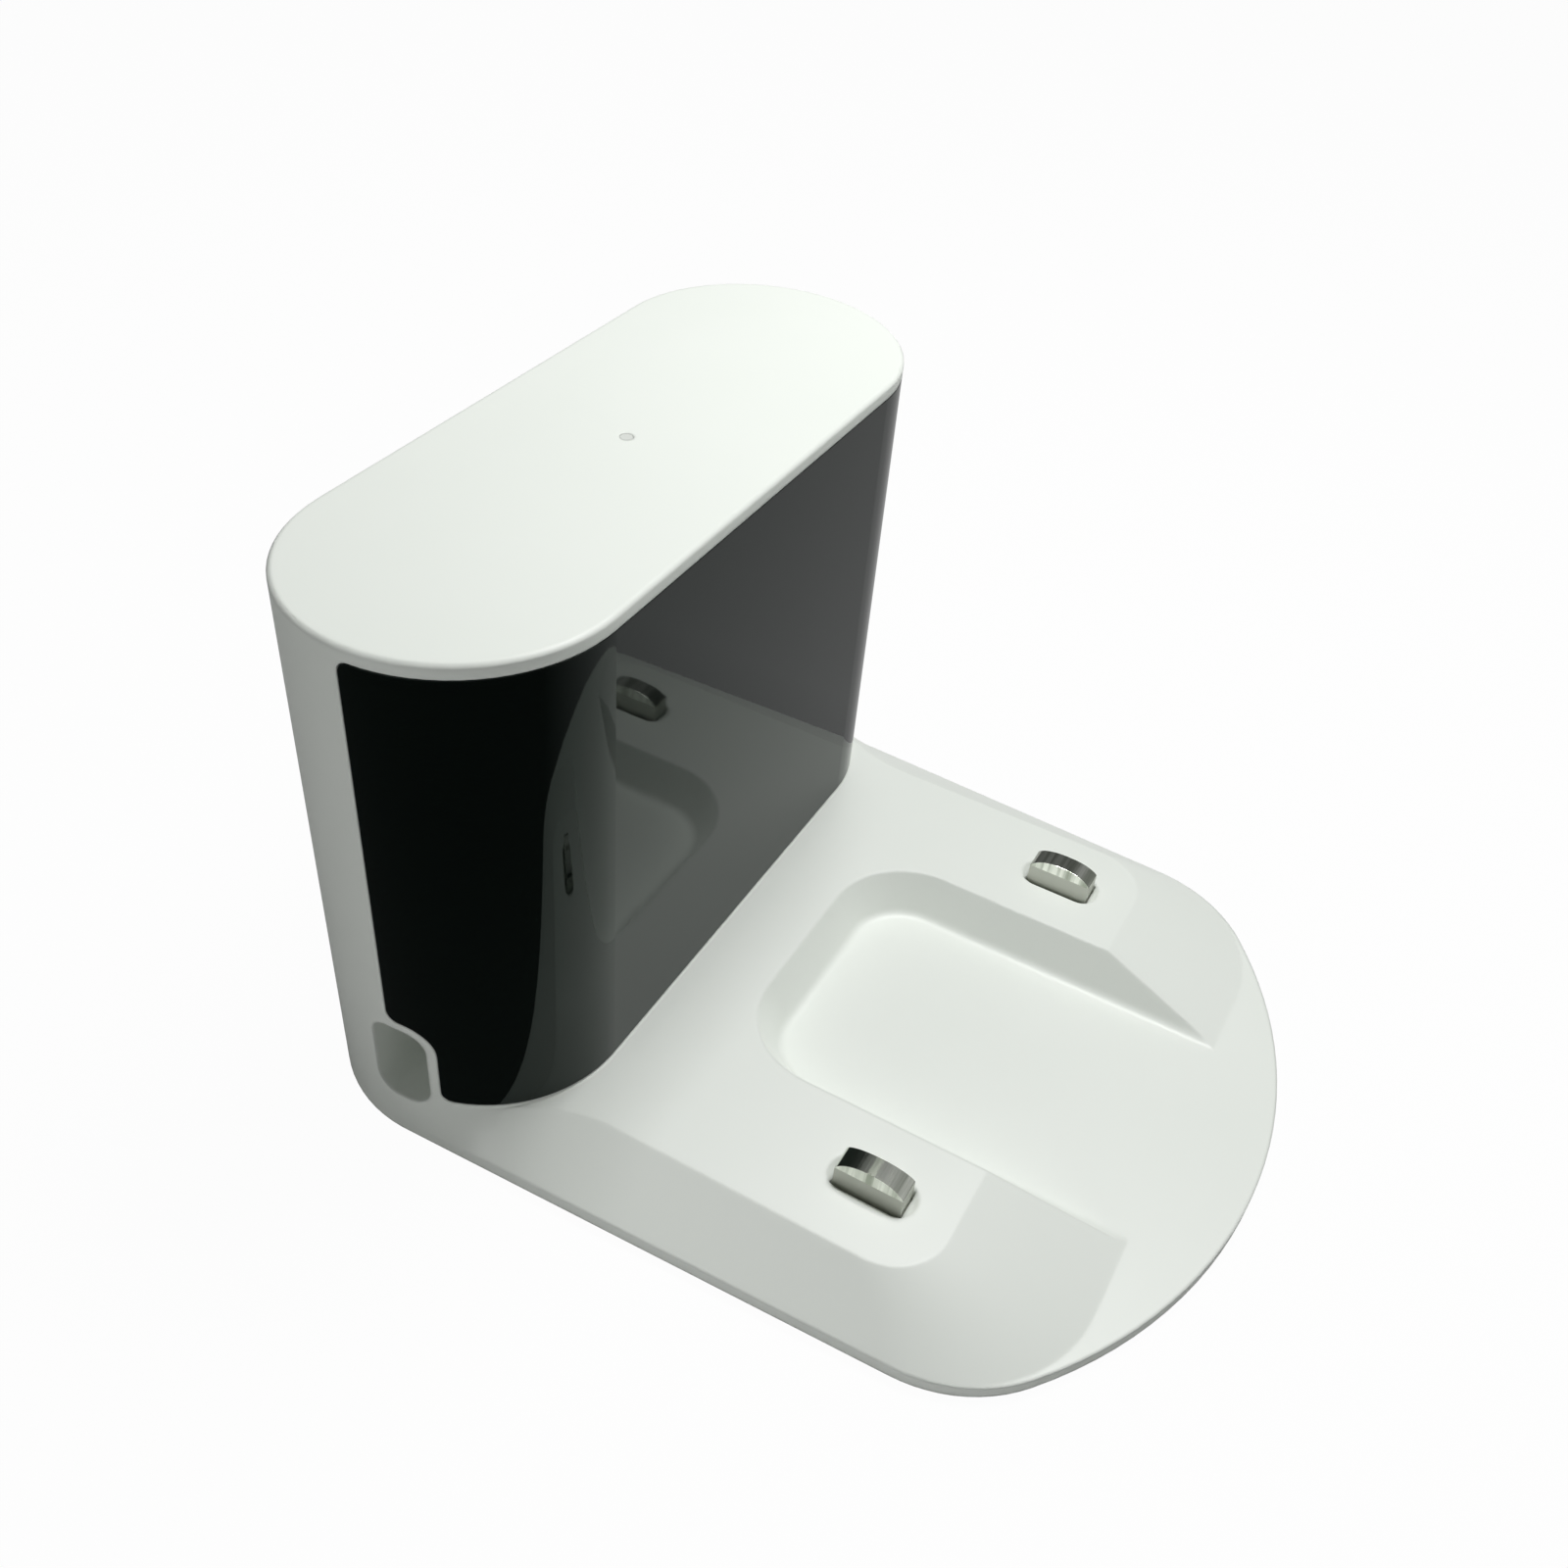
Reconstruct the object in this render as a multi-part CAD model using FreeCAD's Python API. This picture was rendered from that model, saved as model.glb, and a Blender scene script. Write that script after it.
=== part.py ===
import FreeCAD, Part
import os
from math import acos, cos, degrees, radians, sin, sqrt

# Floor dock that charges a robot vacuum cleaner. Millimetres.
# X runs to the right seen from the front, Y to the rear, Z up.
# The origin lies on the floor, under the middle of the bounding box.

# Overall size
WIDTH = 130.0
DEPTH = 151.0
HEIGHT = 98.0

# Mouldings
WALL = 2.2
LID_T = 2.2
LID_BEVEL = 0.5
SEAM = 0.15
FIT = 0.3

# Tower
TOWER_DEPTH = 50.0
WINDOW_T = 2.0
WINDOW_CORNER_R = 2.0
WINDOW_SILL_RISE = 1.6
SHELF_REACH = 12.5

# Base, from the floor up
RIM_GAP = 0.3
FOOT_T = 0.8
PLATE_T = 1.0
FLOOR_SKIN = 0.9
DECK_RISE = 7.3
RIM_WALL = 1.8
SIDE_TAPER = 4.5
FRONT_R = 82.0
CORNER_R = 26.0

# Deck, ramps and caster well
FLANK_RUN = 12.5
FLANK_SWEEP_R = 26.0
RAMP_TOP_SETBACK = 38.5
RAMP_TOE_SETBACK = 15.0
ARM_CORNER_R = 10.0
TOE_CORNER_R = 24.0
INNER_TURN = 0.7
WELL_TOP_HALF = 28.0
WELL_WALL_RUN = 4.4
WELL_REAR_GAP = 14.2
WELL_CORNER_R = 15.0
WELL_FLOOR_R = 2.0

# Cord outlet in each end of the tower
OUTLET_W = 10.0
OUTLET_H = 16.8
OUTLET_R = 3.8
OUTLET_BEZEL = 1.6
OUTLET_SHIFT = -1.4
OUTLET_SILL = 0.8

# Charging contacts
CONTACT_SETBACK = 14.2
CONTACT_W = 5.0
CONTACT_L = 11.9
CONTACT_END_RISE = 3.4
CONTACT_END_R = 1.2
CONTACT_APEX = 5.7
CONTACT_CROWN_R = 10.0
CONTACT_SIDE_RISE = 3.2
CONTACT_SIDE_LEAN = 0.85
CONTACT_TRAVEL = 3.0
DISH_REACH = 0.8
DISH_BEVEL = 0.9
FLANGE_T = 1.0
FLANGE_LIP = 1.5
TRAY_WALL = 1.2
SPRING_ROOM = 0.9
LEAF_T = 0.3
LEAF_W = 4.0
LEAD_R = 0.7

# Rear cover with the cord bay
BAY_SIDE = 32.8
BAY_H = 46.0
BAY_WALL = 1.8
COVER_MARGIN = 3.8
COVER_CORNER_R = 5.0
LEDGE_T = 2.0
CLEAT_W = 7.0
CLEAT_H = 10.0
CLEAT_LIP = 3.0
CLEAT_CAP_T = 1.8
CLEAT_SPREAD = 19.0
CLEAT_RISE = 15.0

# Power supply
BOARD_T = 1.6
BOARD_SIDE = 15.0
BOARD_D = 37.0
BOARD_LIFT = 5.5
BOARD_POST_INSET = 3.5
BOARD_POST_R = 3.2
BULK_SHARE = 0.185
BULK_HEADROOM = 6.7
CORE_SHARE = 0.508
CORE_HEADROOM = 10.7
CORE_STEP = 3.5
SINK_PLATE = 1.5
SINK_HALF = 9.0
SINK_FIN_T = 1.0
SINK_FOOT = 5.0
SINK_HEADROOM = 9.7
FINS = 5
OUTPUT_SHARE = 0.092
OUTPUT_H = 14.0
CHOKE_SHARE = 0.196
CHOKE_BORE_SHARE = 0.4
CHOKE_H = 8.0
CHOKE_FLOOR = 1.5
FUSE_R = 2.0
FUSE_L = 9.0
PART_GAP = 3.0
INLET_W = 21.0
INLET_D = 14.0
INLET_DROP = 11.0
INLET_Y = 10.5
SOCKET_R = 4.2
SOCKET_SPREAD = 3.9
SOCKET_DEPTH = 14.0
PIN_R = 1.2
PIN_SPREAD = 4.3

# Infrared beacon
BEACON_SIDE = 8.0
BEACON_TOP = 46.0
BEACON_D = 6.3
BEACON_BOARD_T = 1.2
BEACON_Z = 36.0
BEACON_PITCH = 20.0
EMITTER_R = 2.5

# Status light
PIPE_R = 1.0
PIPE_FIT = 0.05
LAMP_R = 1.5
LAMP_H = 2.8

# Feet and screws
FOOT_R = 5.0
FOOT_SETBACK = 22.5
FOOT_REAR_SETBACK = 19.5
FOOT_SPLAY = 4.0
SCREW_R = 1.25
SCREW_HEAD_R = 2.5
SCREW_HEAD_H = 0.9
BOSS_R = 3.0
FRONT_SCREW_INSET = 10.5
FRONT_SCREW_AHEAD = 4.0
COVER_SCREW_R = 1.0
COVER_SCREW_L = 7.0

# Levels and lines that follow from the sizes above
HALF_W = WIDTH / 2
BACK_Y = DEPTH / 2
FRONT_Y = -DEPTH / 2
END_R = TOWER_DEPTH / 2
END_X = HALF_W - END_R
MID_Y = BACK_Y - END_R
TOWER_FRONT_Y = BACK_Y - TOWER_DEPTH
PLATE_TOP = FOOT_T + PLATE_T
FLOOR_Z = PLATE_TOP + FLOOR_SKIN
DECK_Z = FLOOR_Z + DECK_RISE
UNDER_DECK = DECK_Z - WALL
LID_Z = HEIGHT - LID_T
ARM_HALF = HALF_W - FLANK_RUN
CONTACT_X = (WELL_TOP_HALF + ARM_HALF) / 2
ARM_FRONT_Y = FRONT_Y + RAMP_TOP_SETBACK
TOE_Y = FRONT_Y + RAMP_TOE_SETBACK
WELL_REAR_Y = TOWER_FRONT_Y - WELL_REAR_GAP
CONTACT_Y = ARM_FRONT_Y + CONTACT_SETBACK
OUTLET_Y = MID_Y + OUTLET_SHIFT
OUTLET_Z = DECK_Z - OUTLET_SILL + OUTLET_H / 2
BAY_HALF = HALF_W - BAY_SIDE
BAY_FRONT_Y = OUTLET_Y - OUTLET_W / 2
BAY_Z = OUTLET_Z - OUTLET_H / 2
BAY_TOP = BAY_Z + BAY_H
COVER_FACE_Y = BACK_Y - WALL
TRAY_HALF = BAY_HALF + BAY_WALL
BOARD_Z = BAY_TOP + BAY_WALL + BOARD_LIFT
BOARD_TOP = BOARD_Z + BOARD_T
BOARD_HALF = HALF_W - BOARD_SIDE
BOARD_POST_X = BOARD_HALF - BOARD_POST_INSET
BOARD_ROOM = BOARD_POST_X - BOARD_POST_R
BULK_R = BOARD_ROOM * BULK_SHARE
BULK_X = BULK_R + PART_GAP - BOARD_ROOM
CORE_W = BOARD_ROOM * CORE_SHARE
SINK_X = PART_GAP * 2 + CORE_W
OUTPUT_R = BOARD_ROOM * OUTPUT_SHARE
OUTPUT_X = BOARD_ROOM - PART_GAP / 2 - OUTPUT_R
CHOKE_R = BOARD_ROOM * CHOKE_SHARE
CHOKE_X = -PART_GAP - CHOKE_R
BEACON_HALF = END_X - BEACON_SIDE
SHELF_Y = TOWER_FRONT_Y + SHELF_REACH
FLANGE_TOP = UNDER_DECK
TRAY_FLOOR_Z = FLANGE_TOP - FLANGE_T - CONTACT_TRAVEL - SPRING_ROOM
FLANGE_HALF_W = CONTACT_W / 2 + FLANGE_LIP
FLANGE_HALF_L = CONTACT_L / 2 + FLANGE_LIP
CARRIER_HALF_W = FLANGE_HALF_W + FIT + TRAY_WALL
CARRIER_HALF_L = FLANGE_HALF_L + FIT + TRAY_WALL
BIG = WIDTH + DEPTH + HEIGHT
ORIGIN = FreeCAD.Vector(0, 0, 0)
AXIS_X = FreeCAD.Vector(1, 0, 0)


def at(x, y, z=0.0):
    return FreeCAD.Vector(x, y, z)


def line(a, b):
    return Part.LineSegment(a, b).toShape()


def arc(cx, cy, z, r, start, end):
    angles = (radians(start), radians((start + end) / 2), radians(end))
    points = [at(cx + r * cos(a), cy + r * sin(a), z) for a in angles]
    return Part.Arc(*points).toShape()


def mirrored(shape):
    return shape.mirror(ORIGIN, AXIS_X)


def block(x0, x1, y0, y1, z0, z1):
    return Part.makeBox(x1 - x0, y1 - y0, z1 - z0, at(x0, y0, z0))


def post(r, x, y, z0, z1):
    return Part.makeCylinder(r, z1 - z0, at(x, y, z0))


def rounded(corners, place):
    """Closed outline through corners (u, v, radius), each rounded by its own radius."""
    joints = []
    count = len(corners)
    for i in range(count):
        u, v, r = corners[i]
        here = at(u, v)
        back = at(*corners[i - 1][:2]) - here
        ahead = at(*corners[(i + 1) % count][:2]) - here
        back.normalize()
        ahead.normalize()
        half = acos(max(-1.0, min(1.0, back.dot(ahead)))) / 2
        run = r * cos(half) / sin(half)
        to_middle = back + ahead
        to_middle.normalize()
        middle = here + to_middle * (r / sin(half) - r)
        joints.append((here + back * run, middle, here + ahead * run, r))
    edges = []
    for i in range(count):
        start, middle, end, r = joints[i]
        if r > 0:
            edges.append(Part.Arc(place(start), place(middle), place(end)).toShape())
        edges.append(line(place(end), place(joints[(i + 1) % count][0])))
    return Part.Wire(edges)


def rectangle(u0, u1, v0, v1, r):
    return [(u0, v0, r), (u1, v0, r), (u1, v1, r), (u0, v1, r)]


def plate(corners, z0, z1):
    """Prism on a plan outline, between two heights."""
    wire = rounded(corners, lambda p: at(p.x, p.y, z0))
    return Part.Face(wire).extrude(at(0, 0, z1 - z0))


def side_bar(corners, x0, x1):
    """Prism on an outline in the side view (Y, Z), between two X values."""
    wire = rounded(corners, lambda p: at(x0, p.x, p.y))
    return Part.Face(wire).extrude(at(x1 - x0, 0, 0))


def rear_bar(corners, y0, y1):
    """Prism on an outline in the rear view (X, Z), between two Y values."""
    wire = rounded(corners, lambda p: at(p.x, y0, p.y))
    return Part.Face(wire).extrude(at(0, y1 - y0, 0))


def full_wire(half):
    """Closed outline from the edges of its right half."""
    return Part.Wire(Part.__sortEdges__(half + [mirrored(e) for e in half]))


def ruled_block(lower, upper):
    """Solid between two outlines, each given by matching edges of its right half."""
    sides = [Part.makeRuledSurface(a, b) for a, b in zip(lower, upper)]
    faces = sides + [mirrored(s) for s in sides]
    faces += [Part.Face(full_wire(lower)), Part.Face(full_wire(upper))]
    shell = Part.makeShell(faces)
    shell.sewShape()
    solid = Part.makeSolid(shell)
    if solid.Volume < 0:
        solid.reverse()
    return solid


def stadium(inset, z0, z1):
    r = END_R - inset
    left = at(-END_X, MID_Y - r, z0)
    right = at(END_X, MID_Y + r, z0)
    edges = [
        line(at(-END_X, MID_Y + r, z0), right),
        arc(END_X, MID_Y, z0, r, 90, -90),
        line(at(END_X, MID_Y - r, z0), left),
        arc(-END_X, MID_Y, z0, r, 270, 90),
    ]
    return Part.Face(Part.Wire(edges)).extrude(at(0, 0, z1 - z0))


def both(shape):
    return [shape, mirrored(shape)]


# Outlines of the base

def side_x(y, inset):
    return HALF_W - inset - SIDE_TAPER * (MID_Y - y) / (MID_Y - FRONT_Y)


def rear_edges(z, inset):
    r = END_R - inset
    straight = line(at(0, MID_Y + r, z), at(END_X, MID_Y + r, z))
    return [straight, arc(END_X, MID_Y, z, r, 90, 0)]


def footprint_edges(z):
    """Plan of the rim: tapered sides, rounded corners, one wide arc across the front."""
    start = at(HALF_W, MID_Y, z)
    along = at(side_x(FRONT_Y, 0), FRONT_Y, z) - start
    along.normalize()
    inward = at(along.y, -along.x)
    hub = at(0, FRONT_Y + FRONT_R, z)
    base = start + inward * CORNER_R - hub
    b = base.dot(along)
    c = base.dot(base) - (FRONT_R - CORNER_R) ** 2
    t = -b + sqrt(b * b - c)
    centre = start + along * t + inward * CORNER_R
    outward = centre - hub
    outward.normalize()
    corner_start = start + along * t
    corner_end = hub + outward * FRONT_R
    bisector = outward - inward
    bisector.normalize()
    corner = Part.Arc(corner_start, centre + bisector * CORNER_R, corner_end).toShape()
    half_turn = outward + at(0, -1)
    half_turn.normalize()
    front = Part.Arc(corner_end, hub + half_turn * FRONT_R, at(0, FRONT_Y, z)).toShape()
    return rear_edges(z, 0) + [line(start, corner_start), corner, front]


def sweep_end():
    """Angle where the deck edge leaves the tower's end, and Y where it becomes straight."""
    across = ARM_HALF + FLANK_SWEEP_R - END_X
    span = END_R + FLANK_SWEEP_R
    return degrees(acos(across / span)), MID_Y - sqrt(span * span - across * across)


def turn_radius(r, inset):
    return (r - inset) * INNER_TURN if inset > 0 else r


def turn_edge(x, y, z, r, inset):
    """Quarter turn at a front corner, cut straight on the hidden inside."""
    if inset > 0:
        return line(at(x + r, y, z), at(x, y - r, z))
    return arc(x, y, z, r, 0, -90)


def toe_edges(z, inset):
    """Foot of the flanks and ramps."""
    angle, straight_y = sweep_end()
    r = turn_radius(TOE_CORNER_R, inset)
    front_y = TOE_Y + inset
    leave_y = MID_Y - END_R * sin(radians(angle))
    corner_y = front_y + r
    stops = [at(side_x(y, inset), y, z) for y in (MID_Y, leave_y, straight_y, corner_y)]
    edges = [line(stops[i], stops[i + 1]) for i in range(3)]
    centre_x = stops[3].x - r
    edges.append(turn_edge(centre_x, corner_y, z, r, inset))
    edges.append(line(at(centre_x, front_y, z), at(0, front_y, z)))
    return rear_edges(z, inset) + edges


def deck_edges(z, inset):
    """Edge of the flat deck: it follows the tower's end, sweeps in, then runs forward."""
    angle, straight_y = sweep_end()
    x = ARM_HALF - inset
    r = turn_radius(ARM_CORNER_R, inset)
    front_y = ARM_FRONT_Y + inset
    sweep = arc(ARM_HALF + FLANK_SWEEP_R, straight_y, z, FLANK_SWEEP_R + inset, 180 - angle, 180)
    edges = [arc(END_X, MID_Y, z, END_R - inset, 0, -angle), sweep]
    edges.append(line(at(x, straight_y, z), at(x, front_y + r, z)))
    edges.append(turn_edge(x - r, front_y + r, z, r, inset))
    edges.append(line(at(x - r, front_y, z), at(0, front_y, z)))
    return rear_edges(z, inset) + edges


def well_space(grow, z0, floor_r):
    """Space of the caster well: leaning walls round a U, with a rounded foot."""
    over = 1.0
    lean = WELL_WALL_RUN / DECK_RISE
    z1 = DECK_Z + over
    foot = WELL_CORNER_R - WELL_WALL_RUN - (FLOOR_Z - z0) * lean + grow
    brim = WELL_CORNER_R + over * lean + grow
    x = WELL_TOP_HALF - WELL_CORNER_R
    y = WELL_REAR_Y - WELL_CORNER_R
    front = FRONT_Y - WALL
    section = [(0, z0, 0), (foot, z0, floor_r), (brim, z1, 0), (0, z1, 0)]
    across = Part.Face(rounded(section, lambda p: at(x + p.x, y, p.y)))
    along = Part.Face(rounded(section, lambda p: at(-x, y + p.x, p.y)))
    turn = across.revolve(at(x, y), at(0, 0, 1), 90)
    side = across.extrude(at(0, front - y))
    middle = block(-x, x, front, y, z0, z1)
    parts = [along.extrude(at(2 * x, 0))] + both(turn) + both(side)
    return middle.fuse(parts).removeSplitter()


# Openings shared by several pieces

def window_outline(gap):
    """Side view of the window. Its lower rear corner is cut round the cord outlet."""
    edge_y = MID_Y - gap
    notch_y = OUTLET_Y - OUTLET_W / 2 - OUTLET_BEZEL - gap
    notch_z = OUTLET_Z + OUTLET_H / 2 + OUTLET_BEZEL + gap
    front = TOWER_FRONT_Y - WALL
    r = WINDOW_CORNER_R
    return [
        (front, DECK_Z + gap, 0),
        (notch_y, DECK_Z + WINDOW_SILL_RISE + gap, r),
        (notch_y, notch_z, OUTLET_R + OUTLET_BEZEL + gap),
        (edge_y, notch_z, r),
        (edge_y, LID_Z - gap, r),
        (front, LID_Z - gap, 0),
    ]


def outlet_outline(grow):
    y0 = OUTLET_Y - OUTLET_W / 2 - grow
    y1 = OUTLET_Y + OUTLET_W / 2 + grow
    z0 = OUTLET_Z - OUTLET_H / 2 - grow
    z1 = OUTLET_Z + OUTLET_H / 2 + grow
    return rectangle(y0, y1, z0, z1, OUTLET_R + grow)


def contact_outline(grow):
    half_w = CONTACT_W / 2 + grow
    half_l = CONTACT_L / 2 + grow
    x0 = CONTACT_X - half_w
    x1 = CONTACT_X + half_w
    return rectangle(x0, x1, CONTACT_Y - half_l, CONTACT_Y + half_l, 0)


def dish_outline(grow):
    """Round-ended dish in the deck, longer than the contact that stands in it."""
    half_w = CONTACT_W / 2 + FIT + grow
    half_l = CONTACT_L / 2 + DISH_REACH + grow
    x0 = CONTACT_X - half_w
    x1 = CONTACT_X + half_w
    return rectangle(x0, x1, CONTACT_Y - half_l, CONTACT_Y + half_l, half_w - FIT)


def cover_outline(margin):
    half = TRAY_HALF + margin
    z0 = BAY_Z - BAY_WALL - margin
    z1 = BAY_TOP + BAY_WALL + margin
    return rectangle(-half, half, z0, z1, COVER_CORNER_R)


CORNER_REACH = (END_R - WALL - BOSS_R / 2) * sqrt(0.5)
BASE_SCREWS = [
    (END_X + CORNER_REACH, MID_Y + CORNER_REACH),
    (ARM_HALF - FRONT_SCREW_INSET, ARM_FRONT_Y - FRONT_SCREW_AHEAD),
]
FEET = {
    "front": (CONTACT_X, FRONT_Y + FOOT_SETBACK),
    "rear": (END_X + FOOT_SPLAY, BACK_Y - FOOT_REAR_SETBACK),
}
COVER_SCREW_X = TRAY_HALF + COVER_MARGIN / 2
COVER_SCREW_Z = BAY_Z + BAY_H * 0.6


def countersunk(r, head_r, head_h, length):
    """Screw along +Z, its head's flat face at the origin."""
    head = Part.makeCone(head_r, r, head_h)
    return head.fuse(Part.makeCylinder(r, length)).removeSplitter()


def base_screw(x, y, z1):
    screw = countersunk(SCREW_R, SCREW_HEAD_R, SCREW_HEAD_H, z1 - FOOT_T)
    screw.translate(at(x, y, FOOT_T))
    return screw


def cover_screw():
    screw = countersunk(COVER_SCREW_R, COVER_SCREW_R * 1.7, SCREW_HEAD_H, COVER_SCREW_L)
    screw.rotate(ORIGIN, AXIS_X, 90)
    screw.translate(at(COVER_SCREW_X, BACK_Y, COVER_SCREW_Z))
    return screw


# Housing

def make_housing():
    rim = Part.Face(full_wire(footprint_edges(RIM_GAP))).extrude(at(0, 0, FLOOR_Z - RIM_GAP))
    deck = ruled_block(toe_edges(FLOOR_Z, 0), deck_edges(DECK_Z, 0))
    tower = stadium(0, DECK_Z, HEIGHT)
    top = [e for e in tower.Edges if e.BoundBox.ZMin > HEIGHT - 1e-4]
    tower = tower.makeChamfer(LID_BEVEL, top)
    body = rim.fuse([deck, tower]).removeSplitter()

    well = well_space(0, FLOOR_Z, WELL_FLOOR_R)
    under = ruled_block(toe_edges(PLATE_TOP, WALL), deck_edges(UNDER_DECK, WALL))
    under = under.cut(well_space(WALL, PLATE_TOP, 0))
    seat = Part.Face(full_wire(footprint_edges(RIM_GAP))).makeOffset2D(-RIM_WALL)
    seat = seat.extrude(at(0, 0, PLATE_TOP - RIM_GAP))
    hall = stadium(WALL, DECK_Z, LID_Z)
    shaft = stadium(WALL, UNDER_DECK, DECK_Z)
    shaft = shaft.common(block(-BIG, BIG, SHELF_Y, BIG, 0, BIG))
    window = side_bar(window_outline(0), -BIG, BIG)
    body = body.cut([well, under, seat, hall, shaft, window])

    outer = stadium(0, FLOOR_Z, HEIGHT)
    duct = side_bar(outlet_outline(OUTLET_BEZEL), TRAY_HALF + FIT, BIG).common(outer)
    ledge = rear_bar(cover_outline(COVER_MARGIN + WALL), COVER_FACE_Y - LEDGE_T, COVER_FACE_Y)
    rear_boss, front_boss = [post(BOSS_R, x, y, PLATE_TOP, DECK_Z + BOSS_R) for x, y in BASE_SCREWS]
    board_post = post(BOARD_POST_R, BOARD_POST_X, MID_Y, BOARD_TOP, LID_Z)
    cover_boss = Part.makeCylinder(
        COVER_MARGIN / 2 - FIT, COVER_SCREW_L,
        at(COVER_SCREW_X, COVER_FACE_Y, COVER_SCREW_Z), at(0, -1, 0))
    adds = both(duct) + both(front_boss.common(deck)) + both(rear_boss.common(outer))
    adds += both(board_post) + both(cover_boss)
    body = body.fuse(adds + [ledge.common(outer)])

    cuts = both(side_bar(outlet_outline(0), TRAY_HALF, BIG))
    cuts += both(plate(contact_outline(FIT), FLANGE_TOP - WALL, BIG)) + both(contact_dish())
    cuts.append(rear_bar(cover_outline(COVER_MARGIN + SEAM), COVER_FACE_Y, BIG))
    cuts.append(rear_bar(cover_outline(FIT), COVER_FACE_Y - LEDGE_T - WALL, BIG))
    cuts.append(post(PIPE_R + PIPE_FIT, 0, MID_Y, LID_Z - WALL, BIG))
    for x, y in BASE_SCREWS:
        cuts += both(base_screw(x, y, UNDER_DECK - WALL))
    cuts += both(board_screw()) + both(cover_screw())
    return body.cut(cuts).removeSplitter()


def make_window():
    shell = stadium(0, DECK_Z, LID_Z).cut(stadium(WINDOW_T, DECK_Z, LID_Z))
    return shell.common(side_bar(window_outline(SEAM), -BIG, BIG))


def make_base_plate():
    outline = Part.Face(full_wire(footprint_edges(FOOT_T))).makeOffset2D(-RIM_WALL - SEAM)
    body = outline.extrude(at(0, 0, PLATE_T))
    cuts = []
    for x, y in BASE_SCREWS:
        cuts += both(base_screw(x, y, UNDER_DECK))
    return body.cut(cuts)


def make_rear_cover():
    """Panel flush in the rear wall, with a deep tray behind it where spare cord is wound."""
    panel = rear_bar(cover_outline(COVER_MARGIN), COVER_FACE_Y, BACK_Y)
    front = BAY_FRONT_Y - BAY_WALL
    tray = rear_bar(cover_outline(0), front, COVER_FACE_Y + WALL / 2)
    bay_r = COVER_CORNER_R - BAY_WALL
    bay = rear_bar(rectangle(-BAY_HALF, BAY_HALF, BAY_Z, BAY_TOP, bay_r), BAY_FRONT_Y, BIG)
    body = panel.fuse(tray).cut(bay)
    x0 = CLEAT_SPREAD - CLEAT_W / 2
    x1 = CLEAT_SPREAD + CLEAT_W / 2
    z0 = BAY_Z + CLEAT_RISE - CLEAT_H / 2
    z1 = z0 + CLEAT_H
    tip = COVER_FACE_Y - WALL
    stem = rear_bar(rectangle(x0, x1, z0, z1, CLEAT_W / 4), front, tip)
    cap = block(x0, x1, tip - CLEAT_CAP_T, tip, z0 - CLEAT_LIP, z1 + CLEAT_LIP)
    body = body.fuse(both(stem) + both(cap))
    mid = MID_Y + INLET_Y
    throat = block(
        -INLET_W / 2 - FIT, INLET_W / 2 + FIT,
        mid - INLET_D / 2 - FIT, mid + INLET_D / 2 + FIT,
        BAY_TOP - WALL, BOARD_Z)
    cuts = [throat] + both(side_bar(outlet_outline(0), BAY_HALF - WALL, BIG))
    cuts += both(cover_screw())
    return body.cut(cuts).removeSplitter()


# Charging contacts, modelled on the right and mirrored

def contact_dish():
    """Shallow dish with a sloping rim, in which the contact stands."""
    low = rounded(dish_outline(0), lambda p: at(p.x, p.y, DECK_Z - DISH_BEVEL))
    high = rounded(dish_outline(DISH_BEVEL), lambda p: at(p.x, p.y, DECK_Z))
    return Part.makeLoft([low, high], True, True)


def make_shoe():
    """Plated contact: a crowned block with leaning shoulders, on a foot caught under the deck."""
    foot = block(
        CONTACT_X - FLANGE_HALF_W, CONTACT_X + FLANGE_HALF_W,
        CONTACT_Y - FLANGE_HALF_L, CONTACT_Y + FLANGE_HALF_L,
        FLANGE_TOP - FLANGE_T, FLANGE_TOP)
    half = CONTACT_L / 2
    low = FLANGE_TOP - FLANGE_T / 2
    end = DECK_Z + CONTACT_END_RISE
    apex = DECK_Z + CONTACT_APEX
    profile = [
        (CONTACT_Y - half, low, 0),
        (CONTACT_Y + half, low, 0),
        (CONTACT_Y + half, end, CONTACT_END_R),
        (CONTACT_Y, apex, CONTACT_CROWN_R),
        (CONTACT_Y - half, end, CONTACT_END_R),
    ]
    head = side_bar(profile, CONTACT_X - CONTACT_W / 2, CONTACT_X + CONTACT_W / 2)
    side_z = DECK_Z + CONTACT_SIDE_RISE
    leans = []
    for edge_x, way in ((CONTACT_X - CONTACT_W / 2, 1), (CONTACT_X + CONTACT_W / 2, -1)):
        inner_x = edge_x + way * CONTACT_SIDE_LEAN * (apex - side_z)
        outer_x = edge_x - way * CONTACT_W
        wedge = [(edge_x, side_z, 0), (inner_x, apex, 0), (outer_x, apex, 0), (outer_x, side_z, 0)]
        leans.append(rear_bar(wedge, CONTACT_Y - CONTACT_L, CONTACT_Y + CONTACT_L))
    return foot.fuse(head.cut(leans)).removeSplitter()


def make_carrier():
    """Open tray that guides the contact's foot and holds its spring."""
    tray = block(
        CONTACT_X - CARRIER_HALF_W, CONTACT_X + CARRIER_HALF_W,
        CONTACT_Y - CARRIER_HALF_L, CONTACT_Y + CARRIER_HALF_L,
        PLATE_TOP, UNDER_DECK)
    pocket = block(
        CONTACT_X - FLANGE_HALF_W - FIT, CONTACT_X + FLANGE_HALF_W + FIT,
        CONTACT_Y - FLANGE_HALF_L - FIT, CONTACT_Y + FLANGE_HALF_L + FIT,
        TRAY_FLOOR_Z, UNDER_DECK)
    return tray.cut(pocket)


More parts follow.
